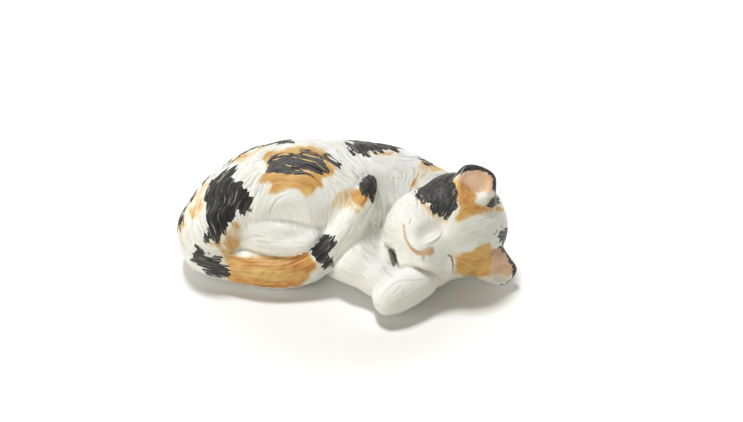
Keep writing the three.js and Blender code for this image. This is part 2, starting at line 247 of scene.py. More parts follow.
# Forms pressed or added by the fingers, each by pixels of the photograph: its place, a place it
# points towards, its half-sizes along, across and outwards, how softly it joins, and how far it
# stands proud, or is pressed in if negative
Form = namedtuple("Form", "at towards half_sizes softness proud")
FORMS = {
    "thigh_hollow": Form((291, 217), (312, 217), (8.6, 6.4, 6.0), 2.2, -0.8),
    "foot_top": Form((272, 227), (292, 229), (8.5, 2.3, 2.6), 1.4, 0.6),
    "chest": Form((370, 238), (377, 222), (7.0, 4.5, 5.0), 3.0, 2.0),
    "gap": Form((391.5, 256.5), (386, 244), (4.0, 1.0, 4.0), 0.6, -2.6),
    "tail_nest": Form((335, 221), (349, 205), (7.0, 2.2, 2.5), 2.0, 0.7),
    "upper_ear_bowl": Form((475, 181), (487, 186), (4.8, 3.8, 2.2), 1.2, 1.5),
    "whisker_pad": Form((416, 227), (409, 214), (3.4, 2.5, 2.6), 1.0, 0.5),
    "lower_whisker_pad": Form((425, 262), (436, 266), (3.0, 2.2, 2.4), 1.0, 0.35),
    "socket": Form((433, 231), (443, 226.5), (5.6, 2.6, 2.4), 1.6, -0.6),
    "lower_socket": Form((447, 264), (447, 254), (3.2, 2.0, 2.4), 1.2, -0.4),
    "bridge": Form((433, 239.5), (443, 233.5), (3.4, 1.3, 1.6), 0.8, 0.15),
    "forearm": Form((382.5, 251), (389, 263), (4.2, 1.7, 2.5), 1.4, 1.0),
    "brow": Form((450, 228), (450, 216), (3.6, 1.7, 2.0), 1.2, 0.25),
    "nose": Form((429, 250.8), (423, 252), (1.15, 0.95, 1.0), 0.4, 0.4),
    "chin": Form((408, 258), (404, 250), (2.4, 1.8, 2.0), 1.0, 0.3),
}

# Paint: outlines by pixels of the photograph, each on the members named
BODY = ("torso", "haunch", "near_foreleg")
CHARCOAL_PATCHES = {
    "rump": (BODY, [
        (236, 166), (231, 178), (241, 186), (247, 190), (252, 199), (250, 212), (241, 212), (237, 218),
        (231, 224), (226, 228), (221, 238), (207, 243), (204, 240), (207, 224), (206, 200), (209, 190),
        (213, 182), (224, 173)]),
    "thigh": (BODY, [
        (267, 161), (271, 155.5), (288, 153), (302, 151), (313, 152), (326, 156), (334, 161), (340, 165),
        (337, 166), (330, 162), (326, 164), (328, 170), (318, 176), (307, 171), (298, 173.5), (288, 177.5),
        (282, 176), (272, 173.5), (267, 171), (268, 165)]),
    "back": (BODY, [
        (347.5, 142.5), (368, 136.5), (388, 134.5), (394, 142), (402.5, 149), (396, 152.5), (386, 151),
        (378, 153.5), (369, 152.5), (362.5, 155), (353, 153.5), (351, 147)]),
    "tail_root": (("tail", "torso"), [
        (194.5, 245.5), (199.5, 250), (207, 255), (212, 257.5), (220, 258.5), (221, 263), (227.5, 267),
        (227.5, 275), (216, 277), (206, 272), (198, 265.5), (193.8, 256.5)]),
    "tail_middle": (("tail",), [
        (309, 246.5), (313, 241), (322, 236.5), (331, 236.5), (334, 245), (329.5, 252.5), (331.5, 258),
        (331, 264), (324.5, 268), (319.5, 263), (313, 256.5), (310.5, 251.5)]),
    "tail_tip": (("tail",), [
        (356, 186), (360, 178), (369, 170), (380, 174), (383, 184), (378, 194), (373, 202), (367.5, 197),
        (361, 189.5)]),
    "brow": (("head", "upper_ear"), [
        (415.5, 192.5), (420.5, 181), (429.5, 174.5), (445, 167), (452, 166), (457.5, 174.5), (452.5, 181),
        (456.5, 187.5), (456.5, 199), (457.5, 209), (451, 215.5), (445, 222), (443.5, 215.5), (438.5, 217),
        (436, 213), (432, 208), (429.5, 203), (423, 201.5), (418, 196.5)]),
    "ear_rim": (("upper_ear", "head"), [
        (448, 170), (457, 164), (472, 160), (490, 162), (502, 175), (502, 190), (496, 196), (494, 187),
        (493, 178), (487, 172), (477, 170), (465, 171), (457.5, 175)]),
    "ear_spot": (("upper_ear", "head"), [
        (488, 205), (490.5, 199), (496, 195.5), (500, 199), (497, 205), (492, 207.5)]),
    "back_edge": (BODY, [
        (176, 246), (174, 232), (180, 208), (196, 180), (217, 163), (246, 147), (275, 139), (292, 138),
        (291, 141.2), (275, 143.4), (248, 151), (219, 167.5), (199.5, 185.5), (182.5, 213), (178, 233),
        (179, 247)]),
    "nape_edge": (("head", "torso"), [
        (419, 157), (432, 158), (448, 163), (450, 169), (440, 167), (430, 164.5), (421, 162)]),
    "crown_spot": (("head",), [(498.5, 238), (500, 230), (507, 225.5), (515, 231), (514, 244), (502, 244)]),
    # Black rim of the lower ear, with painted shadow along its underside
    "lower_ear_rim": (("lower_ear", "head"), [
        (499, 243), (507, 238), (514, 250), (522, 262), (520, 280), (511, 290), (494, 287), (506, 285),
        (512, 279), (513.5, 271), (511, 263), (507, 256), (503, 250)]),
}
OCHRE_PATCHES = {
    "thigh": (BODY, [
        (261, 158), (266, 150.5), (281, 147.5), (300, 146), (313, 145.5), (323, 149.5), (331, 157),
        (337, 168.5), (333.5, 175), (324.5, 180), (323, 187.5), (313, 192.5), (305.5, 196.5), (298, 191.5),
        (287.5, 189), (275, 196.5), (268.5, 194), (269.5, 185), (257, 184), (262, 173.5), (267, 168.5)]),
    "flank": (BODY, [
        (206, 176), (208, 184), (202, 194), (200.5, 206), (199.5, 217), (192, 217), (188, 208), (192, 194),
        (198, 184)]),
    "shoulder_line": (BODY, [
        (231, 160.5), (249, 150), (264, 144), (266, 148), (259.5, 151), (243, 159.5), (234, 165)]),
    "loin": (BODY + ("tail",), [
        (229, 221), (236.5, 222), (243, 230), (247, 239), (239, 246), (231.5, 255), (225, 257), (215, 246.5),
        (210, 244), (221, 235), (231, 227)]),
    "left_edge": (BODY, [
        (181, 212), (184, 207), (184, 220), (182, 235), (185, 250), (180, 250), (176, 238), (178, 222)]),
    "tail_underside": (("tail",), [
        (224, 258), (231.5, 254), (247, 254), (270, 256), (287.5, 252), (300, 246), (309, 242), (311, 252.5),
        (318, 261.5), (319.5, 267), (310.5, 278), (298, 290), (270, 294), (241.5, 290), (226, 280),
        (227.5, 267)]),
    "tail_band": (("tail", "torso", "haunch"), [
        (332.5, 201.5), (337.5, 194), (346.5, 189), (359, 188), (366, 194), (373, 199), (363, 210.5),
        (356, 213), (349, 206.5), (340, 210.5), (334, 208)]),
    "tail_collar": (("tail",), [
        (352, 186), (360, 187), (367, 193), (373, 198), (369, 204), (364, 211), (358, 208), (351, 201),
        (348, 194)]),
    "back": (BODY, [(364, 152), (378, 150), (393, 150), (399, 152), (390, 157), (373.5, 156)]),
    "nape": (("head", "torso"), [
        (412.5, 170), (421.5, 163), (432, 160), (447, 165), (447, 169), (430, 172.5), (419.5, 179),
        (415.5, 187), (411.5, 185), (414, 176)]),
    "brow_edge": (("head",), [
        (413, 192), (416, 180), (424, 172), (432, 169), (430, 176), (421, 183), (419, 195), (428, 203),
        (437, 210), (442, 218), (447, 214), (452, 215), (447, 223), (434, 217), (424, 206), (415, 199)]),
    "ear_front": (("upper_ear", "head"), [
        (452.5, 181), (457.5, 177), (468, 181), (474, 190), (479, 196.5), (477, 201.5), (488, 206.5),
        (497, 206.5), (503, 210), (483, 213), (470.5, 217.5), (457.5, 222), (452.5, 219.5), (457.5, 209),
        (455.5, 196.5)]),
    "lower_ear_front": (("lower_ear", "head"), [
        (452.5, 256.5), (464, 250), (480.5, 245), (489.5, 241.5), (493, 250), (493, 265), (490, 277),
        (477, 279), (464, 276), (454.5, 274), (453.5, 262.5)]),
}
ROSE_PATCHES = {
    "upper_ear": (("upper_ear", "head"), [
        (457.5, 176), (465, 171), (476.5, 169), (487.5, 171), (495, 178), (495, 188), (488, 195),
        (483, 191.5), (478, 193), (470.5, 189), (465, 183.5), (459, 182)]),
    "lower_ear": (("lower_ear", "head"), [
        (493, 249), (501, 248), (507, 255), (512, 264), (514, 272), (509, 277), (501, 274), (490, 274),
        (493, 268), (489, 264), (493.5, 259), (489.5, 255)]),
    "nose": (("muzzle", "head"), [
        (424.5, 249), (428, 246.5), (433, 247), (434.5, 250), (433.5, 254), (429, 256), (424.5, 255)]),
}
# Painted shade: a dark wash in the gap between the near foreleg and the cheek, darkest at the foot of the
# gap
GAP_SHADE_PATCHES = {
    "gap_shade_top": (NAMES, [
        (382.5, 243), (390, 242), (395, 248), (396.5, 256), (395.5, 260), (390.5, 260), (387.5, 251),
        (383.5, 247)]),
    "gap_low": (NAMES, [
        (388.5, 250), (391, 247.5), (395, 249.5), (397, 256), (396.5, 262), (395.2, 265.5), (393.4, 266.8),
        (391.8, 265), (390, 258)]),
}
TUFTS = {
    "upper_ear": (("upper_ear", "head"), [
        (478, 194.5), (483, 193), (488.5, 197.5), (493.5, 193.5), (495, 196.5), (489.5, 202), (486.5, 203.5),
        (481.5, 200.5)]),
    "lower_ear": (("lower_ear", "head"), [
        (489.5, 278), (496, 275), (506, 274), (509, 278), (506, 283), (494.5, 283)]),
}

# Patches painted thinly: most depth that counts, in millimetres
THIN_PAINT = {
    "back_edge": 0.35, "flank": 0.2, "shoulder_line": 0.15, "loin": 0.4, "nape_edge": 0.2, "left_edge": 0.15,
    "tail_band": 0.15, "nape": 0.3, "gap_shade_top": -0.06, "brow_edge": 0.05, "rump": 1.0,
}

# Gaps that the brush left in the charcoal, as lines, with half their breadth in pixels, how sharply
# the paint ends beside them, and the depth of paint at their edge
BRUSH_GAPS = [
    [(303, 154), (318, 157.5), (332, 166)],
    [(299, 158), (315, 162), (326, 171)],
    [(300, 163), (311, 166.5), (320, 174)],
    [(286, 165), (297, 167), (308, 172)],
    [(273, 160), (284, 157.5), (296, 157.5)],
]
GAP_BREADTH = 0.55
GAP_RISE = 6.0
GAP_DEPTH = 0.2

# Where the skin turns away from the camera: the turn from which paint that the photograph shows
# fades, how fast and how far, and the same of paint that it doesn't show
SEEN_FADE = (0.08, 25.0, 2.0)
HIDDEN_TURN = 0.12
HIDDEN_FADE = (30.0, 4.0)

# Paint on the sides that the photograph doesn't show: centre and radii in millimetres
FAR_CHARCOAL = {
    "back": ((7.0, 25.0, 17.0), (9.0, 5.0, 8.0)),
    "loin": ((-23.0, 21.0, 17.0), (13.0, 5.0, 6.0)),
    "rump": ((-40.5, 8.0, 10.0), (5.0, 8.0, 6.5)),
    "nape": ((26.0, 12.0, 13.0), (7.0, 6.0, 6.0)),
    "crown": ((42.0, 2.0, 14.0), (5.0, 5.0, 5.0)),
    "upper_ear": ((32.0, 6.0, 27.0), (9.0, 6.0, 6.0)),
    "lower_ear": ((44.5, -3.0, 4.0), (4.0, 5.0, 6.0)),
}
FAR_OCHRE = {
    "back": ((-4.0, 25.0, 10.0), (11.0, 6.0, 7.0)),
    "loin": ((-26.0, 18.0, 18.0), (12.0, 7.0, 7.0)),
    "rump": ((-38.0, 0.0, 10.0), (7.0, 9.0, 8.0)),
    "crown": ((41.0, 8.0, 12.0), (5.0, 4.0, 5.0)),
    "shoulder": ((18.0, 20.0, 10.0), (7.0, 6.0, 6.0)),
}

# Depth of a place that lies far from all paint, and how far beyond a patch or a gap places are
# measured, in pixels
UNPAINTED = -6.0
PATCH_NEAR = 20
GAP_NEAR = 6

# Colours of the paints as they look, 0 to 255. The crease colour is painted shade, laid over creases and
# hollows; the ink also lays painted shade in the gap beside the chin.
COLOURS = {
    "white": (246, 248, 247), "grey_white": (239, 240, 236), "shaded_white": (212, 209, 198),
    "grooved_white": (184, 178, 158), "ochre": (222, 175, 90), "pale_ochre": (233, 200, 124),
    "grooved_ochre": (176, 116, 50), "ochre_wash": (243, 215, 142), "pale_rose": (236, 206, 172),
    "black": (28, 28, 30), "charcoal": (60, 58, 55), "tuft": (240, 234, 220), "ink_and_shade": (104, 94, 72),
    "crease": (190, 180, 152),
}

# Coats by material slot: deep ochre, light and deep rose, roughness, and how loose the brush is
COATS = {
    "calico_coat": ((200, 140, 56), (208, 171, 128), (188, 145, 102), 0.50, 0.75),
    "tail_coat": ((192, 116, 32), (210, 168, 132), (190, 142, 106), 0.48, 0.7),
    "ear_coat": ((202, 136, 58), (238, 200, 168), (222, 176, 142), 0.55, 0.25),
}


def camera_axes():
    """Rightward, upward and forward ways of the camera."""
    right = np.array([1.0, 0.0, 0.0])
    forward = np.array([0.0, math.cos(CAMERA_ELEVATION), -math.sin(CAMERA_ELEVATION)])
    return right, np.cross(right, forward), forward


def camera_place():
    """Camera place, in millimetres, that shows AIM at AIM_PIXEL."""
    right, up, forward = camera_axes()
    across = (PICTURE[0] / 2 - AIM_PIXEL[0]) / PIXELS_PER_MM
    down = (PICTURE[1] / 2 - AIM_PIXEL[1]) / PIXELS_PER_MM
    return np.array(AIM) + right * across - up * down - forward * CAMERA_DISTANCE


def to_pixels(points):
    """Where points show in the photograph's frame."""
    right, up, forward = camera_axes()
    away = points - camera_place()
    scale = PIXELS_PER_MM * CAMERA_DISTANCE / (away @ forward)
    return np.stack([PICTURE[0] / 2 + (away @ right) * scale, PICTURE[1] / 2 - (away @ up) * scale], axis=1)


def sight_lines(pixels):
    """Ways from the camera through pixels."""
    right, up, forward = camera_axes()
    pixels = np.atleast_2d(np.array(pixels, float))
    across = (pixels[:, :1] - PICTURE[0] / 2) / (PIXELS_PER_MM * CAMERA_DISTANCE)
    down = (pixels[:, 1:] - PICTURE[1] / 2) / (PIXELS_PER_MM * CAMERA_DISTANCE)
    return unit(forward + right * across - up * down)


def norms(vectors, keepdims=False):
    return np.linalg.norm(vectors, axis=-1, keepdims=keepdims)


def unit(vectors):
    return vectors / np.maximum(norms(vectors, True), 1e-9)


def climb(value, points, reach):
    """How much a value rises along x, y and z, from that reach before each point to that after it."""
    return np.stack([value(points + step) - value(points - step) for step in np.eye(3) * reach], axis=1)


def gathered(index, vectors, count):
    """Sum of the vectors that fall to each index."""
    return np.stack([np.bincount(index, vectors[:, k], count) for k in range(3)], axis=1)


def placed(name, data):
    """A new object in the scene."""
    thing = bpy.data.objects.new(name, data)
    bpy.context.scene.collection.objects.link(thing)
    return thing


def make_camera():
    data = bpy.data.cameras.new("camera")
    data.sensor_fit = "HORIZONTAL"
    data.sensor_width = SENSOR_WIDTH
    data.lens = PIXELS_PER_MM * CAMERA_DISTANCE * SENSOR_WIDTH / PICTURE[0]
    camera = placed("camera", data)
    camera.location = camera_place() * MM
    camera.rotation_euler = Vector(camera_axes()[2]).to_track_quat("-Z", "Y").to_euler()
    bpy.context.scene.camera = camera


class Grid:
    """Regular grid of points round the whole figure."""

    def __init__(self, box):
        low, high = (np.array(corner) / MM for corner in box)
        self.origin = low - GRID_MARGIN
        self.shape = tuple(int(n) for n in np.ceil((high - low + 2 * GRID_MARGIN) / CELL) + 1)

    def cells(self, points):
        return (points - self.origin) / CELL

    def points(self, cells):
        return self.origin + cells * CELL

    def read(self, table, points):
        """Values of a table on the grid, read between its points."""
        cells = self.cells(points)
        base = np.clip(np.floor(cells).astype(int), 0, np.array(self.shape) - 2)
        share = np.clip(cells - base, 0, 1)
        total = 0
        for corner in np.ndindex(2, 2, 2):
            weight = np.prod(np.where(corner, share, 1 - share), axis=1)
            value = table[tuple((base + corner).T)]
            total = total + (value.T * weight).T
        return total


def distance_field(node, grid):
    """Distance from each grid point to a node's surface, in millimetres, negative inside."""
    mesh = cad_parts[node].data
    places = np.empty(len(mesh.vertices) * 3, np.float32)
    mesh.vertices.foreach_get("co", places)
    mesh.calc_loop_triangles()
    triangles = np.empty(len(mesh.loop_triangles) * 3, np.int32)
    mesh.loop_triangles.foreach_get("vertices", triangles)
    level_set = openvdb.FloatGrid.createLevelSetFromPolygons(
        np.ascontiguousarray(grid.cells(places.reshape(-1, 3) / MM), np.float32),
        triangles=np.ascontiguousarray(triangles.reshape(-1, 3), np.uint32),
        halfWidth=float(BAND_CELLS),
    )
    field = np.zeros(grid.shape, np.float32)
    level_set.copyToArray(field, ijk=(0, 0, 0))
    return field * CELL


def blurred(field, sigma):
    """Field smoothed with a Gaussian of that many millimetres."""
    reach = math.ceil(BLUR_REACH * sigma / CELL)
    weights = np.exp(-0.5 * (np.arange(-reach, reach + 1) * CELL / sigma) ** 2)
    weights /= weights.sum()
    for axis in range(3):
        padding = [(reach, reach) if a == axis else (0, 0) for a in range(3)]
        padded = np.pad(field, padding, mode="edge")
        total = np.zeros_like(field)
        for step, weight in enumerate(weights):
            window = [slice(None)] * 3
            window[axis] = slice(step, step + field.shape[axis])
            total += np.float32(weight) * padded[tuple(window)]
        field = total
    return field


def softly_joined(a, b, softness):
    """Union of two distance fields whose crease is filled over that many millimetres."""
    overlap = np.maximum(softness - np.abs(a - b), 0) / softness
    return np.minimum(a, b) - overlap * overlap * softness / 4


def hand_lumps(grid):
    """Smooth unevenness over the grid, with a spread of one."""
    draw = np.random.default_rng(LUMP_SEED)
    lumps = blurred(draw.standard_normal(grid.shape).astype(np.float32), LUMP_BREADTH)
    return lumps / lumps.std()


class Clay:
    """The fused figure as a distance field, worked by adding and pressing in rounded forms."""

    def __init__(self, grid, members, lumps):
        self.grid = grid
        along = grid.origin[0] + np.arange(grid.shape[0]) * CELL
        whole = np.clip((along - CREASES_START) / (CREASES_WHOLE - CREASES_START), 0, 1)[:, None, None]

        def joined(carrier, member, softness, depth):
            crease = np.exp(-np.square((carrier - member) / CREASE_BREADTH))
            return softly_joined(carrier, member, softness) + crease * whole * depth

        def group(carrier, joins, parts):
            for name, (softness, depth) in joins.items():
                carrier = joined(carrier, parts[name], softness, depth)
            return carrier

        head = group(members["head"], HEAD_JOINS, members)
        arm = group(members["near_foreleg"], ARM_JOINS, members)
        body = group(members["torso"], BODY_JOINS, {**members, "near_foreleg": arm})
        share = np.clip(arm / NECK_REACH, 0, 1)
        softness, depth = (chin + (neck - chin) * share for chin, neck in zip(CHIN_JOIN, NECK_JOIN))
        self.values = joined(body, head, softness, depth) + lumps * LUMP_HEIGHT
        self.finish()

    def finish(self):
        """Cut the flat base and take the slopes of the field."""
        heights = self.grid.points(np.arange(self.grid.shape[2])[:, None] * np.array([0, 0, 1]))[:, 2]
        self.values = np.maximum(self.values, -heights[None, None, :]).astype(np.float32)
        self.slopes = np.stack(np.gradient(self.values, CELL), axis=-1)

    def work(self, centre, half_sizes, axes, softness, press=False):
        """Add an ellipsoid, or press one in."""
        reach = max(half_sizes) + softness + 1.0
        low = np.maximum(np.floor(self.grid.cells(centre - reach)).astype(int), 0)
        high = np.minimum(np.ceil(self.grid.cells(centre + reach)).astype(int) + 1, self.grid.shape)
        window = tuple(slice(a, b) for a, b in zip(low, high))
        cells = np.stack(np.meshgrid(*[np.arange(a, b) for a, b in zip(low, high)], indexing="ij"), axis=-1)
        local = (self.grid.points(cells) - centre) @ np.asarray(axes).T
        scaled = norms(local / half_sizes)
        slope = norms(local / np.square(half_sizes))
        form = scaled * (scaled - 1) / np.maximum(slope, 1e-6)
        here = self.values[window]
        if press:
            self.values[window] = -softly_joined(-here, form, softness)
        else:
            self.values[window] = softly_joined(here, form, softness)

    def distance(self, points):
        return self.grid.read(self.values, points)

    def normals(self, points):
        return unit(self.grid.read(self.slopes, points))

    def closeness(self, points, normals, reach):
        """How much of the air above each point is taken by clay that rises beside it, 0 to 1."""
        return np.clip(1 - self.distance(points + normals * reach) / reach, 0, 1)

    def onto_surface(self, points, rounds=3):
        for _ in range(rounds):
            slopes = self.grid.read(self.slopes, points)
            squared = np.maximum((slopes**2).sum(1, keepdims=True), LEAST_SLOPE)
            points = points - slopes * self.distance(points)[:, None] / squared
        return points

    def struck(self, origins, ways):
        """Where straight lines first meet the surface."""
        points = np.array(origins, float) + np.zeros_like(ways)
        for _ in range(LOOK_STEPS):
            points = points + ways * np.maximum(self.distance(points), 0)[:, None] * LOOK_TRUST
        return points

    def stands_before(self, points):
        """Whether clay stands between each point and the camera."""
        ways = unit(camera_place() - points)
        return np.any(
            [self.distance(points + ways * reach) < -COVER_DEPTH for reach in COVER_REACHES], axis=0)

    def seen_at(self, pixels):
        """Surface points that show at pixels of the photograph."""
        ways = sight_lines(pixels)
        near = camera_place() + ways * (CAMERA_DISTANCE - LOOK_SHORT)
        return self.struck(near, ways)


def voted(owner):
    """Owners of the clay by vote among neighbours, so that no crumb is left beside a seam."""
    most = np.zeros(owner.shape, np.int16)
    best = np.zeros(owner.shape, np.int16)
    for number in range(1, len(NAMES) + 1):
        count = (owner == number).astype(np.int16)
        for axis in range(3):
            count = count + np.roll(count, 1, axis) + np.roll(count, -1, axis)
        ahead = count > most
        best[ahead] = number
        most = np.maximum(most, count)
    return np.where(owner > 0, best, 0)


def surface_nets(grid, whole, members):
    """Quads between unlike grid points, with the owners behind and before each quad.

    Owner 0 is the air, and the members' numbers are in OWNERS. A cell that touches the air gets its
    vertex on the skin.
    """
    stack = np.stack([members[name] for name in NAMES])
    owner = voted(np.where(whole < 0, stack.argmin(0) + 1, 0).astype(np.int16))
    cell_shape = tuple(n - 1 for n in grid.shape)
    cell_count = int(np.prod(cell_shape))
    sums, weights = np.zeros((cell_count, 3)), np.zeros(cell_count)
    faces, sides = [], []
    for axis in range(3):
        across, up = (axis + 1) % 3, (axis + 2) % 3
        low = [slice(None)] * 3
        high = [slice(None)] * 3
        low[axis], high[axis] = slice(0, -1), slice(1, None)
        for other in (across, up):
            low[other] = high[other] = slice(1, -1)
        here = np.argwhere(owner[tuple(low)] != owner[tuple(high)])
        here[:, across] += 1
        here[:, up] += 1
        beyond = here.copy()
        beyond[:, axis] += 1
        first, second = owner[tuple(here.T)], owner[tuple(beyond.T)]
        skin = (first == 0) | (second == 0)
        ends = []
        for place in (here, beyond):
            gap = stack[(np.maximum(first - 1, 0), *place.T)] - stack[(np.maximum(second - 1, 0), *place.T)]
            ends.append(np.where(skin, whole[tuple(place.T)], gap))
        spread = ends[0] - ends[1]
        share = np.clip(ends[0] / np.where(np.abs(spread) < 1e-6, 1e-6, spread), *CROSSING_LIMITS)
        crossing = here.astype(float)
        crossing[:, axis] += share
        weight = np.where(skin, 1.0, JOINT_WEIGHT)
        corners = []
        for step_across, step_up in ((0, 0), (-1, 0), (-1, -1), (0, -1)):
            cell = here.copy()
            cell[:, across] += step_across
            cell[:, up] += step_up
            number = np.ravel_multi_index(cell.T, cell_shape)
            corners.append(number)
            sums += gathered(number, weight[:, None] * crossing, cell_count)
            weights += np.bincount(number, weight, cell_count)
        faces.append(np.stack(corners, axis=1))
        sides.append(np.stack([first, second], axis=1))
    used, faces = np.unique(np.concatenate(faces), return_inverse=True)
    return grid.points(sums[used] / weights[used, None]), faces.reshape(-1, 4), np.concatenate(sides)


def facings(places, quads):
    """The way that each quad faces, as long as twice its area."""
    corners = places[quads]
    return np.cross(corners[:, 2] - corners[:, 0], corners[:, 3] - corners[:, 1])


class Skin:
    """The figure's mesh: fine quads on the skin and coarse faces in the joints between members."""

    def __init__(self, clay, members):
        places, quads, sides = surface_nets(clay.grid, clay.values, members)
        on_skin = (sides == 0).any(1)
        inward = sides[:, 0] == 0
        quads[inward] = quads[inward][:, ::-1]
        sides[on_skin] = np.stack([sides[on_skin].max(1), 0 * sides[on_skin, 0]], axis=1)
        low = places[quads][:, :, 2].max(1) < UNDERSIDE_HEIGHT
        fine = on_skin & ~(low & (unit(facings(places, quads))[:, 2] < UNDERSIDE_SLOPE))
        self.underside = quads[on_skin & ~fine]
        skin = quads[fine]
        self.owner = sides[fine, 0]
        rim = np.sort(np.stack([skin, np.roll(skin, -1, axis=1)], axis=-1).reshape(-1, 2), axis=1)
        edges, number = np.unique(rim, axis=0, return_inverse=True)
        number = number.reshape(-1, 4)
        middle = len(places) + number
        centre = len(places) + len(edges) + np.arange(len(skin))
        self.quads = np.concatenate([
            np.stack([skin[:, k], middle[:, k], centre, middle[:, k - 1]], axis=1) for k in range(4)])
        self.owner = np.tile(self.owner, 4)
        self.places = np.concatenate([
            places, places[edges].mean(1), places[skin].mean(1)])
        self.halfway = dict(zip(map(tuple, edges.tolist()), range(len(places), len(places) + len(edges))))
        self.coarse = quads[~fine]
        self.coarse_sides = sides[~fine]
        self.on_skin = np.zeros(len(self.places), bool)
        self.on_skin[self.quads] = True
        index = np.flatnonzero(self.on_skin)
        self.places[index] = clay.onto_surface(self.places[index])
        plain = self.places.copy()
        self.straighten_seams(clay, members)
        for _ in range(3):
            outward = clay.normals(self.places[self.quads].mean(1))
            folded = (unit(facings(self.places, self.quads)) * outward).sum(1) < FOLDED
            back = np.unique(self.quads[folded])
            self.places[back] = plain[back]
        self.places[:, 2] = np.maximum(self.places[:, 2], 0)
        self.normals = clay.normals(self.places)
        self.behind = clay.stands_before(self.places)
        self.member = np.zeros(len(self.places), int)
        self.member[self.quads.ravel()] = np.repeat(self.owner, 4)

    def straighten_seams(self, clay, members):
        """Slide the vertices where two members meet on to the smooth line between them."""
        most = np.zeros(len(self.places), int)
        least = np.full(len(self.places), len(NAMES) + 1)
        for corner in range(4):
            np.maximum.at(most, self.quads[:, corner], self.owner)
            np.minimum.at(least, self.quads[:, corner], self.owner)
        seam = np.flatnonzero(self.on_skin & (most > least))
        for pair in np.unique(np.stack([least[seam], most[seam]], axis=1), axis=0):
            index = seam[(least[seam] == pair[0]) & (most[seam] == pair[1])]
            gap = members[NAMES[pair[0] - 1]] - members[NAMES[pair[1] - 1]]
            points = self.places[index]
            for _ in range(2):
                value = clay.grid.read(gap, points)
                slope = climb(lambda there: clay.grid.read(gap, there), points, CELL / 2) / CELL
                normal = clay.normals(points)
                slope -= normal * (slope * normal).sum(1, keepdims=True)
                squared = np.maximum((slope**2).sum(1), SEAM_SLOPE)
                move = -slope * (value / squared)[:, None]
                length = norms(move, True)
                points = points + move * np.minimum(1, SEAM_SLIDE * CELL / np.maximum(length, 1e-9))
                points = clay.onto_surface(points, 1)
            self.places[index] = points

    def faces_of(self, number):
        """Outward faces of one member: its skin, its underside and its joints."""
        fine = self.quads[self.owner == number]
        faces = fine.tolist()
        held = set(fine.ravel().tolist())
        behind = self.coarse_sides[:, 0] == number
        before = self.coarse_sides[:, 1] == number
        coarse = np.concatenate([self.coarse[behind], self.coarse[before][:, ::-1]])
        for quad in coarse.tolist():
            face = []
            for a, b in zip(quad, quad[1:] + quad[:1]):
                face.append(a)
                middle = self.halfway.get((a, b) if a < b else (b, a))
                if middle in held:
                    face.append(middle)
            faces.append(face)
        return faces

    def shading(self, places):
        """Vertex normals of the skin with its vertices at those places."""
        quads = np.concatenate([self.quads, self.underside])
        facing = facings(places, quads)
        total = np.zeros_like(places)
        for corner in range(4):
            total += gathered(quads[:, corner], facing, len(places))
        return unit(total)


def on_members(member, names):
    """Which owner numbers are those of the named members."""
    return np.isin(member, [OWNERS[name] for name in names])


class Limb:
    """The run of a limb or an ear from its root, by pixels of the photograph."""

    def __init__(self, clay, pixels):
        self.line = clay.seen_at(spaced(pixels, 4.0))
        self.ways = unit(np.gradient(self.line, axis=0))
        steps = norms(np.diff(self.line, axis=0))
        self.run = np.concatenate([[0], np.cumsum(steps)])

    def beside(self, points):
        """Way of the limb at each point, its run there, and where the point lies beside it."""
        square = ((points[:, None] - self.line[None]) ** 2).sum(2)
        weight = np.exp((square.min(1, keepdims=True) - square) / (2 * LIMB_BLEND**2))
        weight /= weight.sum(1, keepdims=True)
        return unit(weight @ self.ways), weight @ self.run, points - weight @ self.line


class Coat:
    """Which way the fur lies on the skin."""

    def __init__(self, clay, lumps):
        self.grid = clay.grid
        self.lumps = lumps
        self.thigh, self.nose = clay.seen_at([THIGH_PIXEL, NOSE_PIXEL])
        self.apart = np.linalg.norm(self.thigh - HEAD_CENTRE)
        self.limbs = {name: Limb(clay, pixels) for name, pixels in LIMB_LINES.items()}

    def sweep(self, points):
        """Millimetres across the fur of the body. It lies round the thigh and round the head."""
        from_thigh = norms(points - self.thigh)
        from_head = norms(points - HEAD_CENTRE)
        share = np.clip((HEAD_SWEEP[1] - from_head) / (HEAD_SWEEP[1] - HEAD_SWEEP[0]), 0, 1)
        share = share * share * (3 - 2 * share)
        sway = self.grid.read(self.lumps, points) * LUMP_SWAY
        return from_thigh * (1 - share) + (self.apart - from_head) * share + sway

    def ways(self, points, normals, member):
        way = np.cross(climb(self.sweep, points, CELL), normals)
        on_face = on_members(member, FACE)
        way[on_face] = points[on_face] - self.nose
        for name, limb in self.limbs.items():
            chosen = member == OWNERS[name]
            way[chosen] = limb.beside(points[chosen])[0]
        return unit(way - normals * (way * normals).sum(1, keepdims=True))

    def grain(self, points, member):
        """Four numbers that change fast across the fur and slowly along it."""
        along = points / HAIR_ALONG
        grain = np.concatenate([along, self.sweep(points)[:, None] / HAIR_ACROSS], axis=1)
        chosen = on_members(member, FACE)
        ray = points[chosen] - self.nose
        length = norms(ray, True)
        grain[chosen] = np.concatenate(
            [ray / np.maximum(length, 1) * FACE_HAIRS, length / HAIR_ALONG], axis=1)
        for name, limb in self.limbs.items():
            chosen = member == OWNERS[name]
            way, run, aside = limb.beside(points[chosen])
            level = unit(np.cross(way, [0.0, 0.0, 1.0]))
            across = [(aside * side).sum(1) / HAIR_ACROSS for side in (level, np.cross(level, way))]
            grain[chosen] = np.stack([*across, run / HAIR_ALONG, 0 * run], axis=1)
        return grain


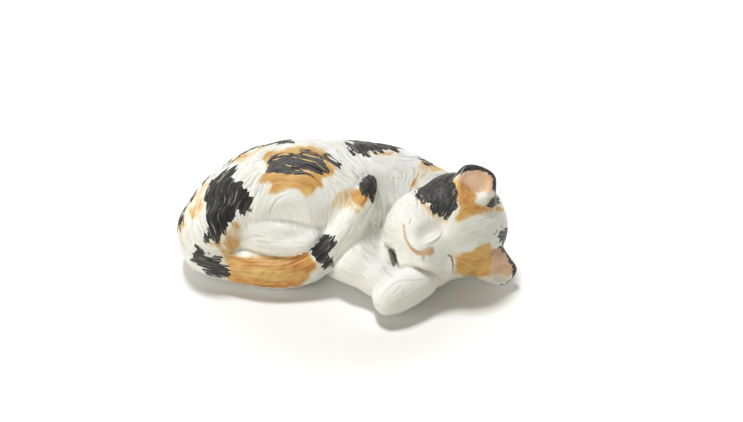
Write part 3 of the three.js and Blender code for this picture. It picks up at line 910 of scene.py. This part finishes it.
class Occupancy:
    """Marks the room that strokes take on the skin."""

    def __init__(self, grid):
        self.origin = grid.origin
        size = (np.array(grid.shape) * CELL / OCCUPANCY_CELL).astype(int) + 2
        self.taken = np.zeros(size, bool)

    def cells(self, points):
        return np.floor((points - self.origin) / OCCUPANCY_CELL).astype(int)

    def free(self, points):
        return ~self.taken[tuple(self.cells(points).T)]

    def take(self, points, radius):
        reach = int(radius / OCCUPANCY_CELL)
        ball = np.argwhere(np.ones([2 * reach + 1] * 3)) - reach
        ball = ball[(ball**2).sum(1) <= (radius / OCCUPANCY_CELL) ** 2]
        cells = (self.cells(points)[:, None] + ball).reshape(-1, 3)
        cells = np.clip(cells, 0, np.array(self.taken.shape) - 1)
        self.taken[tuple(cells.T)] = True


def spaced(line, step):
    """Points at even steps along a line of points."""
    line = np.array(line, float)
    run = np.concatenate([[0], np.cumsum(norms(np.diff(line, axis=0)))])
    marks = np.linspace(0, run[-1], max(int(run[-1] / step), 2) + 1)
    return np.stack([np.interp(marks, run, line[:, k]) for k in range(line.shape[1])], axis=1)


Stroke = namedtuple("Stroke", "points breadth depth tone")


def swell(count, at_start, at_end):
    """A rise to one along a stroke, with a blunt start and a drawn-out end."""
    run = np.arange(count) * STROKE_STEP
    first, last = STROKE_TIPS
    return np.minimum(1, np.minimum((run + first) / at_start, (run[-1] - run + last) / at_end))


def tapered(taper):
    """Share of its full breadth that a stroke has where it rises by that much."""
    return STROKE_THINNEST + (1 - STROKE_THINNEST) * taper


def drawn_lines(clay):
    """The lines of the face, the gap and the paw."""
    lines = {}
    for name, (start, end, depth, _, pixels) in DRAWN_LINES.items():
        points = clay.seen_at(spaced(pixels, LINE_SPACING))
        breadth = start + (end - start) * np.linspace(0, 1, len(points)) ** LINE_SWELL
        rise = np.sin(np.linspace(LINE_TIPS, math.pi - LINE_TIPS, len(points))) ** 0.5
        lines[name] = Stroke(points, breadth, depth * rise, np.full(len(points), 0.5))
    return lines


def fringe(clay):
    """Short strokes over the top of the hind foot."""
    draw = np.random.default_rng(FRINGE_SEED)
    strokes = []
    for x, y in spaced(FRINGE_EDGE, FRINGE_SPACING):
        x += draw.uniform(-1, 1)
        above = FRINGE_DROP[0] * draw.uniform(0.5, 1.5)
        below = FRINGE_DROP[1] * draw.uniform(0.6, 1.2)
        line = [(x - 1, y - above), (x, y + 1), (x + FRINGE_LEAN * below, y + below)]
        points = clay.seen_at(spaced(line, STROKE_STEP * PIXELS_PER_MM))
        taper = swell(len(points), *FRINGE_ENDS)
        tone = np.full(len(points), draw.random())
        strokes.append(Stroke(points, FRINGE_BREADTH * tapered(taper), FRINGE_DEPTH * taper, tone))
    return strokes


def fur_strokes(clay, skin, coat, taken):
    """Incised strokes that follow the fur."""
    draw = np.random.default_rng(STROKE_SEED)
    crowded = Occupancy(clay.grid)
    high = np.flatnonzero(skin.on_skin & (skin.places[:, 2] > SEED_LOWEST))
    seeds = draw.choice(high, min(STROKE_TRIALS, len(high)), replace=False)
    member = skin.member[seeds]
    kinds = [MEMBERS[NAMES[number - 1]] for number in member]
    lengths = np.array([kind.length for kind in kinds]) * draw.uniform(*STROKE_LENGTHS, len(seeds))
    least, extra, bias = STROKE_PRESS
    flat, growing = STROKE_WIDENING
    pressed = least + extra * draw.random(len(seeds)) ** bias
    tones = draw.random(len(seeds))
    bend = draw.normal(0, STROKE_BEND, (len(seeds), 1))
    points = skin.places[seeds]
    path = [points]
    for _ in range(int(max(lengths) / STROKE_STEP)):
        normals = clay.normals(points)
        ways = coat.ways(points, normals, member)
        ways = unit(ways + np.cross(normals, ways) * bend)
        points = clay.onto_surface(points + ways * STROKE_STEP, 1)
        path.append(points)
    path = np.stack(path, axis=1)
    strokes = []
    for line, kind, length, pressure, tone in zip(path, kinds, lengths, pressed, tones):
        line = line[: int(length / STROKE_STEP) + 1]
        bare = norms(line - coat.thigh) < BARE_THIGH
        free = taken.free(line) & (line[:, 2] > STROKE_LOWEST) & ~bare
        count = len(line) if free.all() else int(free.argmin())
        if count * STROKE_STEP < STROKE_SHORTEST or not crowded.free(line[:1])[0]:
            continue
        line = line[:count]
        taken.take(line, kind.spacing * STROKE_PITCH)
        crowded.take(line[::2], kind.spacing)
        taper = swell(count, *STROKE_ENDS)
        breadth = STROKE_BREADTH * tapered(taper) * (flat + growing * pressure)
        strokes.append(Stroke(line, breadth, kind.depth * taper * pressure, np.full(count, tone)))
    return strokes


def lines_object(lines):
    """All incised lines as one wire mesh that holds each point's breadth, depth and tone."""
    points = np.concatenate([line.points for line in lines])
    counts = [len(line.points) for line in lines]
    starts = np.cumsum([0] + counts[:-1])
    first = np.concatenate([start + np.arange(count - 1) for start, count in zip(starts, counts)])
    mesh = bpy.data.meshes.new("incised_lines")
    mesh.from_pydata((points * MM).tolist(), np.stack([first, first + 1], axis=1).tolist(), [])
    for name, scale in (("breadth", MM), ("depth", MM), ("tone", 1.0)):
        values = np.concatenate([getattr(line, name) for line in lines]) * scale
        mesh.attributes.new(name, "FLOAT", "POINT").data.foreach_set("value", values.astype(np.float32))
    return placed("incised_lines", mesh)


class Nodes:
    """Adds nodes to a tree, with their inputs given by name or number."""

    def __init__(self, tree):
        self.tree = tree

    def fill(self, node, inputs):
        """Give inputs of a node their values or links."""
        for name, value in inputs.items():
            socket = node.inputs[name]
            if isinstance(value, bpy.types.NodeSocket):
                self.tree.links.new(value, socket)
            else:
                socket.default_value = value
        return node

    def add(self, kind, inputs=None, **properties):
        node = self.tree.nodes.new(kind)
        for name, value in properties.items():
            setattr(node, name, value)
        return self.fill(node, inputs or {})

    def math(self, operation, *values, clamp=False):
        return self.add(
            "ShaderNodeMath", dict(enumerate(values)), operation=operation, use_clamp=clamp).outputs[0]

    def times(self, a, b):
        return self.math("MULTIPLY", a, b)

    def plus(self, a, b):
        return self.math("ADD", a, b)

    def minus(self, a, b):
        return self.math("SUBTRACT", a, b)

    def ranged(self, value, low, high, start=0.0, end=1.0, smooth=False):
        return self.add(
            "ShaderNodeMapRange",
            {"Value": value, "From Min": low, "From Max": high, "To Min": start, "To Max": end},
            interpolation_type="SMOOTHSTEP" if smooth else "LINEAR",
        ).outputs["Result"]


def engraving_tree():
    """Geometry nodes that press a wire mesh into a skin, with a low burr beside each line."""
    tree = bpy.data.node_groups.new("incised_fur", "GeometryNodeTree")
    kinds = {"Geometry": "Geometry", "Lines": "Object", "Burr": "Float", "Coat": "Material"}
    sockets = {
        name: tree.interface.new_socket(name, in_out="INPUT", socket_type="NodeSocket" + kind)
        for name, kind in kinds.items()}
    tree.interface.new_socket("Geometry", in_out="OUTPUT", socket_type="NodeSocketGeometry")
    nodes = Nodes(tree)

    def named(name, kind="FLOAT"):
        return nodes.add("GeometryNodeInputNamedAttribute", {"Name": name}, data_type=kind).outputs[0]

    given = nodes.add("NodeGroupInput").outputs
    lines = nodes.add("GeometryNodeObjectInfo", {"Object": given["Lines"]}).outputs["Geometry"]
    nearest = nodes.add("GeometryNodeSampleNearest", {"Geometry": lines}, domain="POINT").outputs["Index"]
    breadth, depth, tone = (
        nodes.add(
            "GeometryNodeSampleIndex", {"Geometry": lines, "Value": named(name), "Index": nearest},
            data_type="FLOAT", domain="POINT").outputs[0]
        for name in ("breadth", "depth", "tone"))
    proximity = nodes.add("GeometryNodeProximity", {0: lines}, target_element="EDGES")
    across = nodes.math("DIVIDE", proximity.outputs["Distance"], breadth)
    cut = nodes.ranged(across, 0.0, 1.0, 1.0, 0.0, smooth=True)
    beside = nodes.math("ABSOLUTE", nodes.minus(across, BURR_PLACE))
    burr = nodes.times(nodes.ranged(beside, 0.0, BURR_BREADTH, 1.0, 0.0, smooth=True), given["Burr"])
    depth = nodes.times(depth, named("on_skin"))
    lift = nodes.times(nodes.minus(burr, cut), depth)
    offset = nodes.add(
        "ShaderNodeVectorMath", {0: named("outward", "FLOAT_VECTOR"), "Scale": lift}, operation="SCALE")
    moved = nodes.add(
        "GeometryNodeSetPosition", {"Geometry": given["Geometry"], "Offset": offset.outputs[0]})
    groove = nodes.times(cut, nodes.ranged(depth, 0.0, GROOVE_PAINTED))
    stored = moved.outputs[0]
    for name, value in (("groove", groove), ("tone", tone)):
        stored = nodes.add(
            "GeometryNodeStoreNamedAttribute", {"Geometry": stored, "Name": name, "Value": value},
            data_type="FLOAT", domain="POINT").outputs[0]
    single = nodes.add("GeometryNodeRealizeInstances", {0: stored})
    coated = nodes.add("GeometryNodeSetMaterial", {"Geometry": single.outputs[0], "Material": given["Coat"]})
    nodes.add("NodeGroupOutput", {0: coated.outputs[0]})
    return tree, {name: socket.identifier for name, socket in sockets.items()}


def engrave(piece, tree, inputs, values):
    """Run the engraving on a piece and keep the result as its plain mesh."""
    modifier = piece.modifiers.new("incised_fur", "NODES")
    modifier.node_group = tree
    for name, value in values.items():
        modifier[inputs[name]] = value
    bpy.context.view_layer.update()
    evaluated = piece.evaluated_get(bpy.context.evaluated_depsgraph_get())
    mesh = bpy.data.meshes.new_from_object(evaluated)
    piece.modifiers.clear()
    plain = piece.data
    piece.data = mesh
    bpy.data.meshes.remove(plain)


def beside_line(pixels, line):
    """How far places lie from a line of points."""
    nearest = np.full(len(pixels), np.inf)
    for a, b in zip(line[:-1], line[1:]):
        along = np.clip(((pixels - a) @ (b - a)) / max((b - a) @ (b - a), 1e-9), 0, 1)
        nearest = np.minimum(nearest, norms(pixels - a - along[:, None] * (b - a)))
    return nearest


def inside_depth(pixels, outline):
    """How deep places lie inside an outline, in pixels, negative outside."""
    outline = np.array(outline, float)
    nearest = beside_line(pixels, np.concatenate([outline, outline[:1]]))
    inside = np.zeros(len(pixels), bool)
    for a, b in zip(outline, np.roll(outline, -1, axis=0)):
        crossed = (a[1] > pixels[:, 1]) != (b[1] > pixels[:, 1])
        level = b[1] - a[1] if b[1] != a[1] else 1.0
        inside ^= crossed & (pixels[:, 0] < a[0] + (pixels[:, 1] - a[1]) * (b[0] - a[0]) / level)
    return np.where(inside, nearest, -nearest)


def boxed(pixels, outline, margin):
    """Which places lie in the box round an outline or a line."""
    low, high = np.min(outline, axis=0) - margin, np.max(outline, axis=0) + margin
    return ((pixels > low) & (pixels < high)).all(1)


def painted(skin, seen_patches, far_patches=None, gaps=()):
    """How deep each vertex lies inside its paint, in millimetres, negative outside."""
    depth = np.full(len(skin.places), UNPAINTED)
    pixels = to_pixels(skin.places)
    facing = (skin.normals * unit(camera_place() - skin.places)).sum(1)
    facing[skin.behind] = -1
    turn, rate, most = SEEN_FADE
    turned = np.clip((turn - facing) * rate, 0, most)
    seen = skin.on_skin & (facing > 0.0)
    for patch, (names, outline) in seen_patches.items():
        index = np.flatnonzero(seen & boxed(pixels, outline, PATCH_NEAR) & on_members(skin.member, names))
        here = inside_depth(pixels[index], outline) / PIXELS_PER_MM - turned[index]
        depth[index] = np.maximum(depth[index], np.minimum(here, THIN_PAINT.get(patch, np.inf)))
    for line in gaps:
        index = np.flatnonzero(seen & boxed(pixels, line, GAP_NEAR))
        here = (beside_line(pixels[index], np.array(line, float)) - GAP_BREADTH) / PIXELS_PER_MM
        depth[index] = np.minimum(depth[index], here * GAP_RISE + GAP_DEPTH)
    hidden = np.flatnonzero(skin.on_skin & (facing < HIDDEN_TURN))
    rate, most = HIDDEN_FADE
    for centre, radii in (far_patches or {}).values():
        away = norms((skin.places[hidden] - centre) / np.array(radii))
        here = (1 - away) * min(radii) - np.clip(facing[hidden] * rate, 0, most)
        depth[hidden] = np.maximum(depth[hidden], here)
    return np.maximum(depth, UNPAINTED)


def paint_lines(paints, skin, drawn):
    """Paint the drawn lines that have a paint of their own."""
    for name, stroke in drawn.items():
        paint = paints.get(DRAWN_LINES[name][3])
        if paint is None:
            continue
        near = np.flatnonzero(skin.on_skin & (norms(skin.places - stroke.points.mean(0)) < LINE_NEAR))
        away = norms(skin.places[near, None] - stroke.points[None])
        half = stroke.breadth[away.argmin(1)] * LINE_PAINTED
        paint[near] = np.maximum(paint[near], half - away.min(1))


def linear(red, green, blue):
    """Scene colour of a paint given as it looks, 0 to 255."""
    channels = [c / 255 for c in (red, green, blue)]
    return [c / 12.92 if c <= 0.04045 else ((c + 0.055) / 1.055) ** 2.4 for c in channels] + [1.0]


def new_material(name):
    """A new material with its shader and its nodes."""
    material = bpy.data.materials.new(name)
    material.use_nodes = True
    return material, material.node_tree.nodes["Principled BSDF"], Nodes(material.node_tree)


def coat_material(name, ochre_deep, rose_light, rose_deep, roughness, loose):
    """Satin glaze over painted fur: bare white, ochre washes, dry-brushed charcoal, rose and ink, and
    painted shade in creases, hollows and the gap beside the chin.
    """
    material, shader, nodes = new_material(name)

    def attribute(name, output="Fac"):
        return nodes.add("ShaderNodeAttribute", attribute_name=name).outputs[output]

    def mixed(share, below, above, blend="MIX"):
        """Two colours mixed, each given by its name, its values or a socket."""
        below, above = (
            linear(*COLOURS.get(c, c)) if isinstance(c, (str, tuple)) else c for c in (below, above))
        inputs = {0: share, 6: below, 7: above}
        return nodes.add("ShaderNodeMix", inputs, data_type="RGBA", blend_type=blend).outputs[2]

    def noise(scale, detail, **inputs):
        dimensions = "4D" if "W" in inputs else "3D"
        inputs.update({"Scale": scale, "Detail": detail})
        return nodes.add("ShaderNodeTexNoise", inputs, noise_dimensions=dimensions).outputs["Fac"]

    def about_zero(value, spread):
        return nodes.times(nodes.minus(value, 0.5), spread)

    def layer(depth, wander, low, high, most=1.0):
        return nodes.ranged(nodes.plus(attribute(depth), wander), low, high, 0.0, most, smooth=True)

    place = nodes.add("ShaderNodeTexCoord").outputs["Object"]
    grain = {"Vector": attribute("grain", "Vector"), "W": attribute("grain_depth")}
    streak, hair = noise(1.0, 1.0, **grain), noise(1.8, 1.0, **grain)
    blotch, speck = noise(210.0, 3.0, Vector=place), noise(2600.0, 2.0, Vector=place)
    groove, crease, tone = attribute("groove"), attribute("crease"), attribute("tone")
    wander = nodes.plus(about_zero(streak, 4.5 * loose), about_zero(tone, 1.8 * loose))
    drift = nodes.plus(about_zero(blotch, 4.0 * loose), nodes.times(wander, 0.25))

    white = mixed(nodes.ranged(blotch, 0.35, 0.65), "white", "grey_white")
    white = mixed(nodes.ranged(hair, 0.48, 0.72, 0.0, 0.32), white, "shaded_white")
    white = mixed(nodes.times(groove, 0.38), white, "grooved_white")

    ochre_share = layer("ochre", drift, -0.7, 1.0, 0.95)
    ochre = mixed(nodes.ranged(streak, 0.32, 0.62), "ochre", ochre_deep)
    ochre = mixed(nodes.ranged(blotch, 0.46, 0.64, 0.0, 0.6), ochre, "pale_ochre")
    ochre = mixed(nodes.times(groove, 0.5), ochre, "grooved_ochre")
    ochre = mixed(nodes.ranged(ochre_share, 0.2, 0.8), "ochre_wash", ochre)
    coat = mixed(ochre_share, white, ochre)

    rose = mixed(nodes.ranged(blotch, 0.35, 0.65), rose_light, rose_deep)
    rose = mixed(nodes.ranged(streak, 0.5, 0.75, 0.0, 0.4), rose, "pale_rose")
    coat = mixed(layer("rose", about_zero(hair, 0.8), -0.35, 0.35, 0.9), coat, rose)

    brushed = nodes.plus(wander, about_zero(hair, 1.0))
    thin = nodes.ranged(attribute("charcoal"), 0.0, 1.5, 0.55, 0.08)
    fleck = nodes.times(nodes.ranged(hair, 0.58, 0.68, smooth=True), thin)
    charcoal_share = nodes.times(layer("charcoal", brushed, -0.30, -0.10), nodes.minus(1.0, fleck))
    charcoal = mixed(nodes.ranged(streak, 0.35, 0.7), "black", "charcoal")
    coat = mixed(charcoal_share, coat, charcoal)

    coat = mixed(layer("tuft", about_zero(streak, 2.2), -0.3, 0.5, 0.72), coat, "tuft")
    # Ink for the eye and whisker lines, and painted shade in the gap beside the chin
    coat = mixed(layer("ink_and_shade", about_zero(hair, 0.1), -0.1, 0.12, 0.8), coat, "ink_and_shade")
    # Painted shade: the coat darkens towards the crease colour where clay rises close beside the skin, in
    # creases and hollows
    coat = mixed(nodes.ranged(crease, 0.25, 0.9, 0.0, 0.3), coat, "crease", blend="MULTIPLY")

    gloss = nodes.ranged(blotch, 0.3, 0.7, roughness - 0.06, roughness + 0.08)
    relief = nodes.plus(nodes.times(hair, 0.8), nodes.times(speck, 0.25))
    bump = nodes.add("ShaderNodeBump", {"Height": relief, "Strength": 0.5, "Distance": 0.00008})
    nodes.fill(shader, {
        "Base Color": coat, "Roughness": nodes.plus(gloss, nodes.times(groove, 0.15)), "IOR": 1.45,
        "Normal": bump.outputs["Normal"]})
    return material


def make_piece(name, faces, skin, attributes):
    """One member as a closed mesh that keeps its own share of the skin's attributes."""
    used = np.unique(np.concatenate(faces))
    place = np.full(len(skin.places), -1)
    place[used] = np.arange(len(used))
    lookup = place.tolist()
    mesh = bpy.data.meshes.new(name)
    mesh.from_pydata((skin.places[used] * MM).tolist(), [], [[lookup[i] for i in face] for face in faces])
    mesh.polygons.foreach_set("use_smooth", np.ones(len(mesh.polygons), bool))
    for key, values in attributes.items():
        kind, field = ("FLOAT_VECTOR", "vector") if values.ndim == 2 else ("FLOAT", "value")
        data = mesh.attributes.new(key, kind, "POINT").data
        data.foreach_set(field, values[used].astype(np.float32).ravel())
    return placed(name, mesh), used


def make_lamp(name, place, size, power, colour):
    data = bpy.data.lights.new(name, "AREA")
    data.shape = "DISK"
    data.size = size
    data.energy = power
    data.color = colour
    lamp = placed(name, data)
    lamp.location = place
    lamp.rotation_euler = (Vector(LAMP_AIM) - Vector(place)).to_track_quat("-Z", "Y").to_euler()


def make_floor():
    """White floor that keeps the object's shadow and returns less light than it shows."""
    mesh = bpy.data.meshes.new("floor")
    half = FLOOR_HALF_SIZE
    corners = [(-half, -half, 0), (half, -half, 0), (half, half, 0), (-half, half, 0)]
    mesh.from_pydata(corners, [], [(0, 1, 2, 3)])
    floor = placed("floor", mesh)
    material, shader, nodes = new_material("floor")
    path = nodes.add("ShaderNodeLightPath").outputs
    looked_at = nodes.math("MAXIMUM", path["Is Camera Ray"], path["Is Glossy Ray"])
    place = nodes.add("ShaderNodeTexCoord").outputs["Object"]
    away = nodes.add("ShaderNodeVectorMath", {0: place}, operation="LENGTH").outputs["Value"]
    nodes.fill(shader, {
        "Base Color": nodes.ranged(looked_at, 0.0, 1.0, FLOOR_BOUNCE, FLOOR_SEEN), "Roughness": 0.9,
        "Specular IOR Level": 0.0, "Emission Color": (1.0, 1.0, 1.0, 1.0),
        "Emission Strength": nodes.times(looked_at, nodes.ranged(away, *FLOOR_GLOW, smooth=True))})
    mesh.materials.append(material)


def make_sky():
    """Warm sky that is brightest at the horizon."""
    world = bpy.data.worlds.new("world")
    world.use_nodes = True
    nodes = Nodes(world.node_tree)
    way = nodes.add("ShaderNodeTexCoord").outputs["Generated"]
    height = nodes.add("ShaderNodeSeparateXYZ", {0: way}).outputs["Z"]
    level = nodes.math("POWER", nodes.math("SUBTRACT", 1.0, height, clamp=True), SKY_FALL)
    nodes.fill(world.node_tree.nodes["Background"], {
        "Color": SKY_COLOUR, "Strength": nodes.times(level, SKY_STRENGTH)})
    bpy.context.scene.world = world
    bpy.context.scene.view_settings.view_transform = "Standard"


def shape_forms(clay):
    """Press and add the small forms of the thigh, the chest, the paws and the face."""
    for form in FORMS.values():
        place, aim = clay.seen_at([form.at, form.towards])
        outward = clay.normals(place[None])[0]
        along = aim - place
        along = unit(along - outward * (along @ outward))
        axes = np.stack([along, np.cross(outward, along), outward])
        sunk = (form.half_sizes[2] - abs(form.proud)) * (-1 if form.proud > 0 else 1)
        clay.work(place + outward * sunk, form.half_sizes, axes, form.softness, press=form.proud < 0)
    clay.finish()


make_camera()
grid = Grid(cad_box)
members = {name: blurred(distance_field(name, grid), MEMBERS[name].rubbed) for name in NAMES}
lumps = hand_lumps(grid)
clay = Clay(grid, members, lumps)
shape_forms(clay)
skin = Skin(clay, members)
coat = Coat(clay, lumps)

taken = Occupancy(grid)
drawn = drawn_lines(clay)
for stroke in drawn.values():
    taken.take(stroke.points, max(stroke.breadth) + LINE_ROOM)
hanging = fringe(clay)
for stroke in hanging:
    taken.take(stroke.points, LINE_ROOM)
wires = lines_object([*drawn.values(), *hanging, *fur_strokes(clay, skin, coat, taken)])

grain = coat.grain(skin.places, skin.member)
paints = {
    "charcoal": painted(skin, CHARCOAL_PATCHES, FAR_CHARCOAL, BRUSH_GAPS),
    "ochre": painted(skin, OCHRE_PATCHES, FAR_OCHRE),
    "rose": painted(skin, ROSE_PATCHES),
    "tuft": painted(skin, TUFTS),
    # The ink paint also holds the painted shade in the gap beside the chin
    "ink_and_shade": painted(skin, GAP_SHADE_PATCHES),
}
paint_lines(paints, skin, drawn)
attributes = {
    "on_skin": (skin.on_skin & (skin.places[:, 2] > SKIN_LOWEST)).astype(float),
    "outward": skin.normals,
    "grain": grain[:, :3],
    "grain_depth": grain[:, 3],
    # Painted shade in creases and hollows, by how near clay rises above the skin
    "crease": clay.closeness(skin.places, skin.normals, CREASE_SHADE_REACH),
    **paints,
}

coats = {slot: coat_material(slot, *values) for slot, values in COATS.items()}
tree, inputs = engraving_tree()
pieces = {}
settled = skin.places.copy()
for name, number in OWNERS.items():
    piece, used = make_piece(name + "_sculpt", skin.faces_of(number), skin, attributes)
    engrave(piece, tree, inputs, {"Lines": wires, "Burr": BURR_HEIGHT, "Coat": coats[MEMBERS[name].slot]})
    moved = np.empty(len(used) * 3, np.float32)
    piece.data.vertices.foreach_get("co", moved)
    settled[used] = moved.reshape(-1, 3) / MM
    pieces[name] = (piece, used)
shading = skin.shading(settled)
for name, (piece, used) in pieces.items():
    piece.data.normals_split_custom_set_from_vertices(shading[used].tolist())
    for spare in ("on_skin", "outward"):
        piece.data.attributes.remove(piece.data.attributes[spare])
    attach(piece, "root")
    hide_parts(name)
bpy.data.objects.remove(wires)

make_floor()
for name, values in LAMPS.items():
    make_lamp(name, *values)
make_sky()
